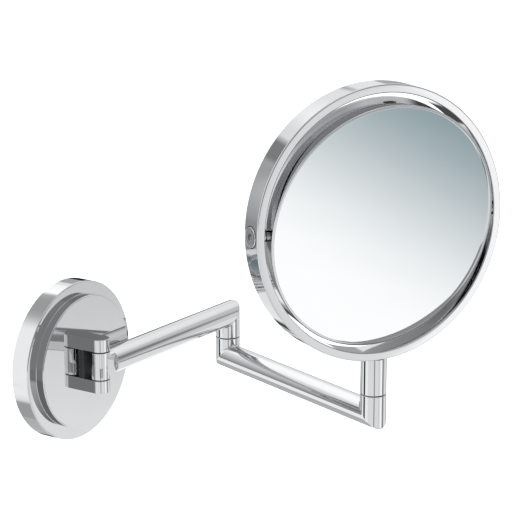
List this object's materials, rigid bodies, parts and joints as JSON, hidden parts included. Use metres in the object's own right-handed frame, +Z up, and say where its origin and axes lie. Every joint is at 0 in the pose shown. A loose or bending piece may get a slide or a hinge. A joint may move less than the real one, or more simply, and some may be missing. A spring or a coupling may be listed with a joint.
{
  "type": "extendable shaving mirror",
  "caption": "Wall-mounted shaving mirror on a double folding tube arm: round rosette, clevis pivot, swivel post, and a ring frame holding a tilting two-faced round mirror.",
  "frame": {"origin": "centre of the wall plate's back face, on the wall plane", "axes": "+Y into the wall, -Y out into the room, +Z up, +X to the right as seen from the room"},
  "size_m": [0.2506, 0.2572, 0.2655],
  "materials": {
    "polished_chrome": "mirror-polished chrome plate on brass",
    "mirror_glass": "silvered float glass",
    "plated_steel": "zinc-plated, satin",
    "dark_steel": "black oxide",
    "brass": "turned",
    "black_nylon": "matt",
    "white_acetal": "satin",
    "black_rubber": "matt"
  },
  "bodies": {
    "wall_mount": {"wall_plate": "plated_steel", "rosette": "polished_chrome", "rosette_grub_screw": "dark_steel", "clevis_bracket": "polished_chrome", "clevis_liner": "black_nylon", "clevis_screws": "dark_steel", "clevis_pivot_pin": "plated_steel", "pin_grub_screw": "dark_steel", "upper_pivot_washer": "black_nylon", "lower_pivot_washer": "black_nylon"},
    "inner_arm": {"inner_arm_knuckle": "polished_chrome", "knuckle_bush": "white_acetal", "inner_arm_tube": "polished_chrome", "inner_arm_drop": "polished_chrome", "elbow_bush": "brass", "elbow_grub_screw": "dark_steel"},
    "outer_arm": {"elbow_stud": "brass", "elbow_washer": "black_nylon", "outer_arm_elbow_riser": "polished_chrome", "outer_arm_tube": "polished_chrome", "outer_arm_post_riser": "polished_chrome", "post_stud": "brass", "post_washer": "black_nylon"},
    "ring": {"mirror_post": "polished_chrome", "post_grub_screw": "dark_steel", "ring_stud": "brass", "ring_frame": "polished_chrome", "left_pivot_plug": "polished_chrome", "right_pivot_plug": "polished_chrome", "left_plug_seal": "black_rubber", "right_plug_seal": "black_rubber", "left_tilt_washer": "polished_chrome", "right_tilt_washer": "polished_chrome"},
    "mirror": {"drum_shell": "polished_chrome", "front_bezel": "polished_chrome", "rear_rim": "polished_chrome", "plain_mirror_glass": "mirror_glass", "magnifying_mirror_glass": "mirror_glass", "spacer_ring": "black_nylon", "front_gasket": "black_rubber", "rear_gasket": "black_rubber", "left_tilt_bush": "white_acetal", "right_tilt_bush": "white_acetal"}
  },
  "joints": [
    {"name": "wall_swing", "type": "hinge", "parent": "wall_mount", "child": "inner_arm", "pos_m": [0, -0.0331, 0], "axis": [0, 0, 1], "range_deg": [-180, 0]},
    {"name": "elbow_swing", "type": "hinge", "parent": "inner_arm", "child": "outer_arm", "pos_m": [0.161, -0.0331, 0], "axis": [0, 0, 1], "range_deg": [-25.4, 244.6]},
    {"name": "post_swivel", "type": "hinge", "parent": "outer_arm", "child": "ring", "pos_m": [0.10095, -0.20173, 0], "axis": [0, 0, 1], "continuous": true},
    {"name": "mirror_tilt", "type": "hinge", "parent": "ring", "child": "mirror", "pos_m": [0.10095, -0.20173, 0.108], "axis": [0.878, -0.4787, 0], "continuous": true}
  ]
}
